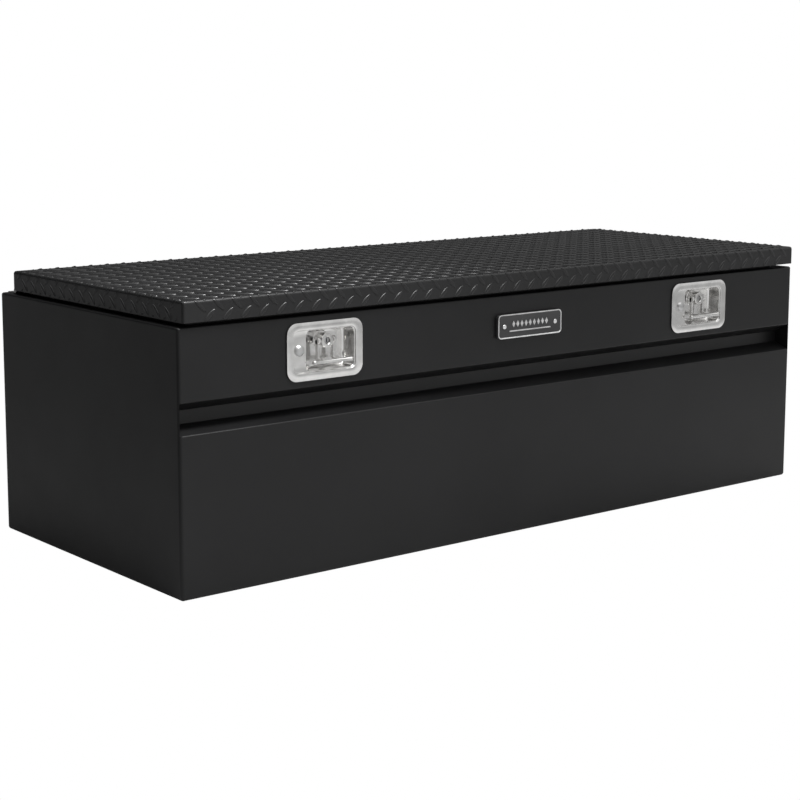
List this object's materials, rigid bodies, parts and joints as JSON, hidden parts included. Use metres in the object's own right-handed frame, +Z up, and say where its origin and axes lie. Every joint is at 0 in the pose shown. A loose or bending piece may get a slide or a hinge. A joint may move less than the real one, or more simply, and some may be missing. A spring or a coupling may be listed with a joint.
{
  "type": "chest truck tool box",
  "caption": "Black sheet-metal chest tool box with a hinged diamond tread-plate lid, gas struts, a full-length front groove and recessed folding T-handle latches.",
  "frame": {"origin": "centre of the body's underside, on the face that it rests on", "axes": "+X to the right along the front, +Y from the front to the back, +Z up"},
  "size_m": [1.524, 0.6294, 0.494],
  "materials": {
    "body_powder_coat": "satin black powder coat on 2 mm steel sheet",
    "lid_tread_plate": "satin black powder coat on 2.5 mm steel diamond tread plate",
    "inner_powder_coat": "satin black powder coat on folded steel hat sections",
    "rubber_seal": "matt black EPDM bulb seal",
    "hinge_stainless": "brushed stainless steel",
    "pan_stainless": "polished pressed stainless steel",
    "handle_stainless": "tumbled cast stainless steel",
    "key_chrome": "chrome-plated lock cylinder",
    "zinc_plate": "bright zinc-plated steel",
    "strut_black": "smooth black painted steel tube",
    "strut_chrome": "hard chrome piston rod",
    "badge_black": "dark plate with a bright raised border",
    "rivet_aluminium": "plain aluminium rivets"
  },
  "bodies": {
    "body": {"front_panel": "body_powder_coat", "back_panel": "body_powder_coat", "floor_panel": "body_powder_coat", "left_end_panel": "body_powder_coat", "right_end_panel": "body_powder_coat", "top_frame": "body_powder_coat", "lid_seal": "rubber_seal", "hinge_body_leaf": "hinge_stainless", "hinge_pin": "hinge_stainless", "hinge_body_rivets": "hinge_stainless", "badge_plate": "badge_black", "badge_rivets": "rivet_aluminium", "strut_left_body_bracket": "zinc_plate", "strut_left_body_stud": "zinc_plate", "latch_left_pan": "pan_stainless", "latch_left_gasket": "rubber_seal", "latch_left_clamp": "zinc_plate", "latch_left_shelf_bolt": "zinc_plate", "latch_left_shelf_nut": "zinc_plate", "strut_right_body_bracket": "zinc_plate", "strut_right_body_stud": "zinc_plate", "latch_right_pan": "pan_stainless", "latch_right_gasket": "rubber_seal", "latch_right_clamp": "zinc_plate", "latch_right_shelf_bolt": "zinc_plate", "latch_right_shelf_nut": "zinc_plate"},
    "lid": {"lid_skin": "lid_tread_plate", "lid_stiffener_1": "inner_powder_coat", "lid_stiffener_2": "inner_powder_coat", "lid_stiffener_3": "inner_powder_coat", "hinge_lid_leaf": "hinge_stainless", "hinge_lid_rivets": "hinge_stainless", "strut_left_lid_bracket": "zinc_plate", "striker_left": "zinc_plate", "strut_right_lid_bracket": "zinc_plate", "striker_right": "zinc_plate"},
    "strut_left_cylinder": {"strut_left_cylinder": "strut_black"},
    "strut_left_rod": {"strut_left_rod": "strut_chrome", "strut_left_rod_pin": "zinc_plate"},
    "latch_left_spindle": {"latch_left_hub": "handle_stainless", "latch_left_trunnions": "handle_stainless", "latch_left_cam": "zinc_plate", "latch_left_cam_nut": "zinc_plate"},
    "latch_left_handle": {"latch_left_handle": "handle_stainless"},
    "latch_left_key": {"latch_left_key_cylinder": "key_chrome"},
    "strut_right_cylinder": {"strut_right_cylinder": "strut_black"},
    "strut_right_rod": {"strut_right_rod": "strut_chrome", "strut_right_rod_pin": "zinc_plate"},
    "latch_right_spindle": {"latch_right_hub": "handle_stainless", "latch_right_trunnions": "handle_stainless", "latch_right_cam": "zinc_plate", "latch_right_cam_nut": "zinc_plate"},
    "latch_right_handle": {"latch_right_handle": "handle_stainless"},
    "latch_right_key": {"latch_right_key_cylinder": "key_chrome"}
  },
  "joints": [
    {"name": "lid_hinge", "type": "hinge", "parent": "body", "child": "lid", "pos_m": [0, 0.275, 0.456], "axis": [-1, 0, 0], "range_deg": [0, 75]},
    {"name": "strut_left_swing", "type": "hinge", "parent": "body", "child": "strut_left_cylinder", "pos_m": [-0.714, 0.2255, 0.4005], "axis": [-1, 0, 0], "range_deg": [0, 72]},
    {"name": "strut_left_slide", "type": "slide", "parent": "strut_left_cylinder", "child": "strut_left_rod", "axis": [0, -0.9567, 0.291], "range_m": [0, 0.0915]},
    {"name": "latch_left_turn", "type": "hinge", "parent": "body", "child": "latch_left_spindle", "pos_m": [-0.4585, -0.309, 0.4031], "axis": [0, 1, 0], "range_deg": [0, 90]},
    {"name": "latch_left_fold", "type": "hinge", "parent": "latch_left_spindle", "child": "latch_left_handle", "pos_m": [-0.4585, -0.2945, 0.4031], "axis": [-1, 0, 0], "range_deg": [0, 90]},
    {"name": "latch_left_key_turn", "type": "hinge", "parent": "latch_left_spindle", "child": "latch_left_key", "pos_m": [-0.4585, -0.302, 0.4031], "axis": [0, -1, 0], "range_deg": [0, 90]},
    {"name": "strut_right_swing", "type": "hinge", "parent": "body", "child": "strut_right_cylinder", "pos_m": [0.714, 0.2255, 0.4005], "axis": [-1, 0, 0], "range_deg": [0, 72]},
    {"name": "strut_right_slide", "type": "slide", "parent": "strut_right_cylinder", "child": "strut_right_rod", "axis": [0, -0.9567, 0.291], "range_m": [0, 0.0915]},
    {"name": "latch_right_turn", "type": "hinge", "parent": "body", "child": "latch_right_spindle", "pos_m": [0.4825, -0.309, 0.4031], "axis": [0, 1, 0], "range_deg": [0, 90]},
    {"name": "latch_right_fold", "type": "hinge", "parent": "latch_right_spindle", "child": "latch_right_handle", "pos_m": [0.4825, -0.2945, 0.4031], "axis": [-1, 0, 0], "range_deg": [0, 90]},
    {"name": "latch_right_key_turn", "type": "hinge", "parent": "latch_right_spindle", "child": "latch_right_key", "pos_m": [0.4825, -0.302, 0.4031], "axis": [0, -1, 0], "range_deg": [0, 90]}
  ],
  "couplings": [
    {"joint": "strut_left_swing", "follows": "lid_hinge", "ratio": 0.95725},
    {"joint": "strut_left_slide", "follows": "lid_hinge", "m_per_rad": 0.06931},
    {"joint": "strut_right_swing", "follows": "lid_hinge", "ratio": 0.95725},
    {"joint": "strut_right_slide", "follows": "lid_hinge", "m_per_rad": 0.06931}
  ]
}
